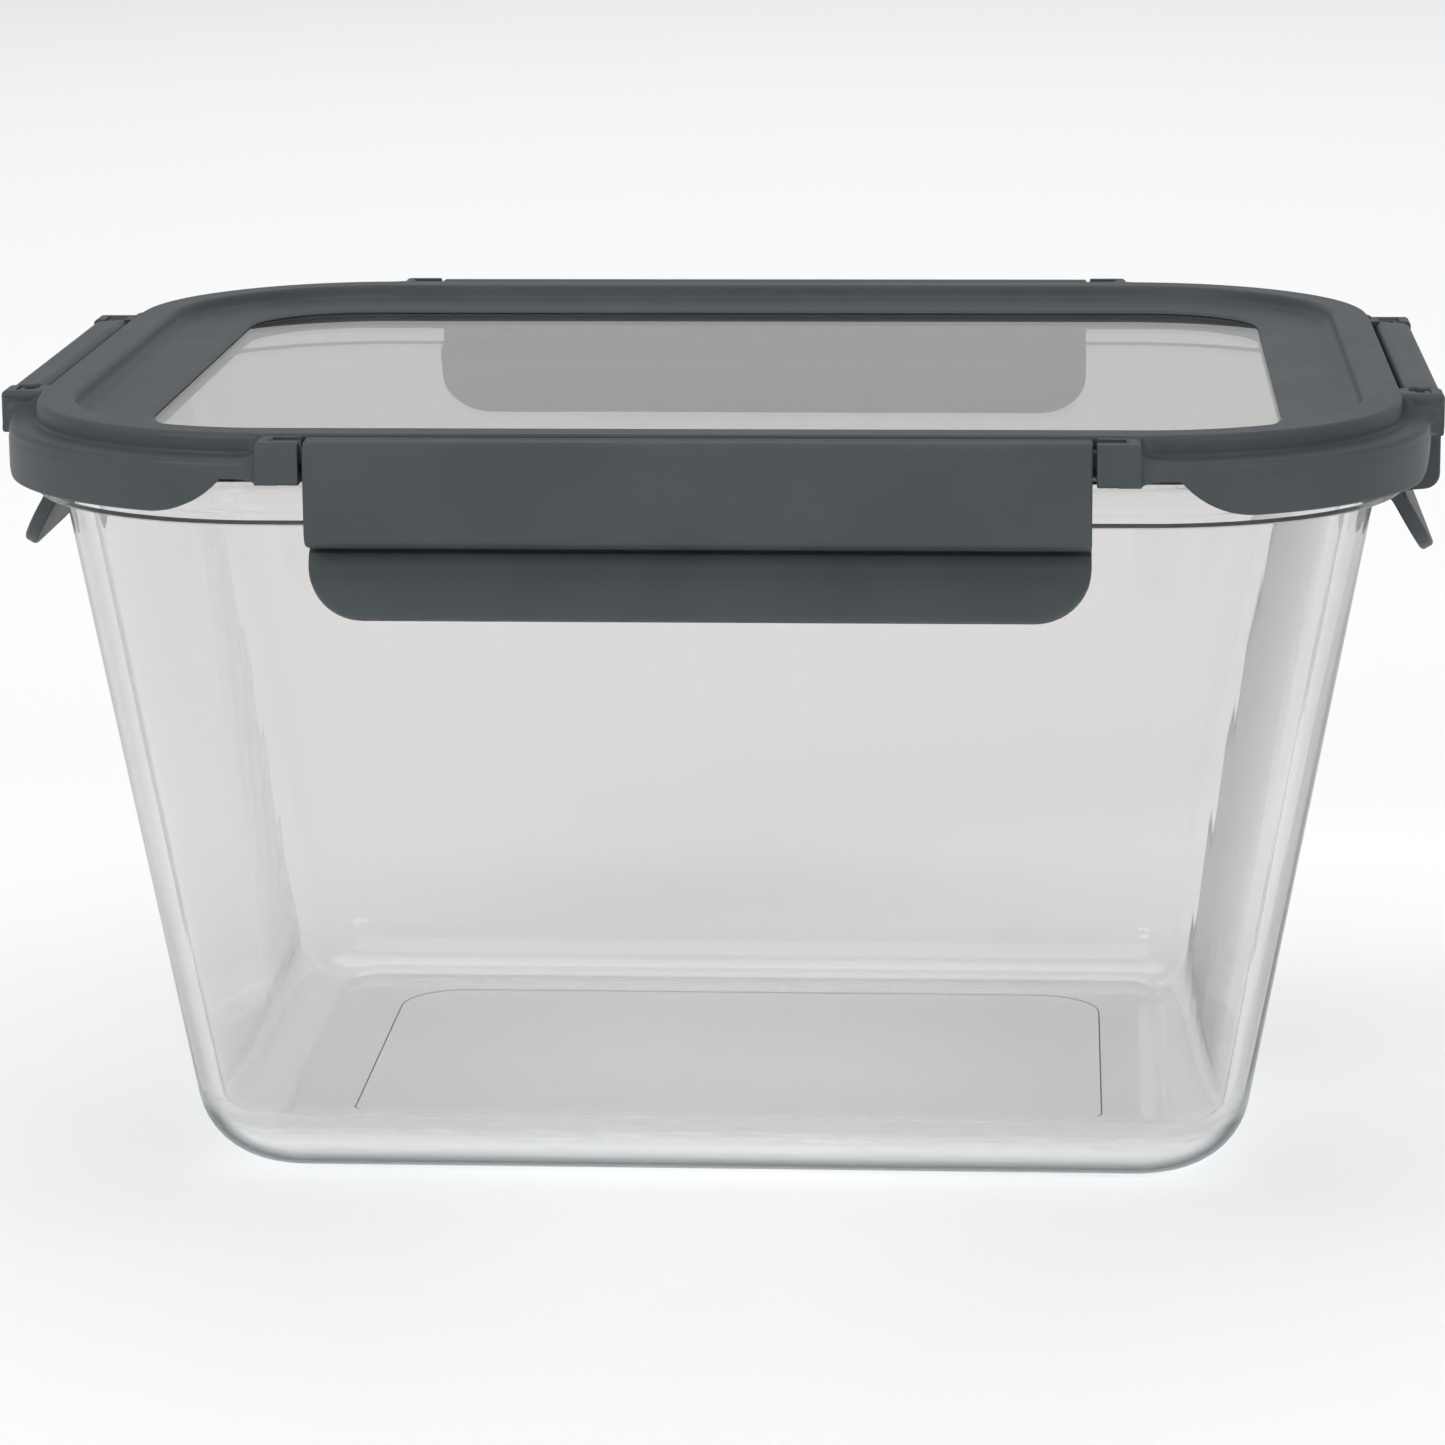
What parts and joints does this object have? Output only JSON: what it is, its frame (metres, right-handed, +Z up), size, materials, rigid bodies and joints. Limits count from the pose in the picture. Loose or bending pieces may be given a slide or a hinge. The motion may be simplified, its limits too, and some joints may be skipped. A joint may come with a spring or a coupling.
{
  "type": "glass food storage container with snap-lock lid",
  "caption": "Deep rectangular glass food container with a moulded lid frame, clear lid window, silicone seal and a hinged snap latch on every side.",
  "frame": {"origin": "centre of the face the container stands on", "axes": "+X along the long side, +Y along the short side towards the back latch, +Z up through the lid"},
  "size_m": [0.24, 0.1946, 0.1315],
  "materials": {
    "clear_glass": "clear, polished, faint blue-green edge tint",
    "window_glass": "clear, polished",
    "grey_polypropylene": "fine matte moulded texture",
    "silicone": "soft translucent matte"
  },
  "bodies": {
    "container": {"glass_body": "clear_glass"},
    "lid": {"lid_frame": "grey_polypropylene", "lid_window": "window_glass", "seal_ring": "silicone"},
    "front_latch": {"latch_front": "grey_polypropylene"},
    "back_latch": {"latch_back": "grey_polypropylene"},
    "right_latch": {"latch_right": "grey_polypropylene"},
    "left_latch": {"latch_left": "grey_polypropylene"}
  },
  "joints": [
    {"name": "lid_lift", "type": "slide", "parent": "container", "child": "lid", "axis": [0, 0, 1], "range_m": [0, 0.15]},
    {"name": "front_latch_hinge", "type": "hinge", "parent": "lid", "child": "front_latch", "pos_m": [0, -0.09355, 0.1284], "axis": [-1, 0, 0], "range_deg": [0, 100]},
    {"name": "back_latch_hinge", "type": "hinge", "parent": "lid", "child": "back_latch", "pos_m": [0, 0.09355, 0.1284], "axis": [1, 0, 0], "range_deg": [0, 100]},
    {"name": "right_latch_hinge", "type": "hinge", "parent": "lid", "child": "right_latch", "pos_m": [0.11625, 0, 0.1284], "axis": [0, -1, 0], "range_deg": [0, 100]},
    {"name": "left_latch_hinge", "type": "hinge", "parent": "lid", "child": "left_latch", "pos_m": [-0.11625, 0, 0.1284], "axis": [0, 1, 0], "range_deg": [0, 100]}
  ]
}
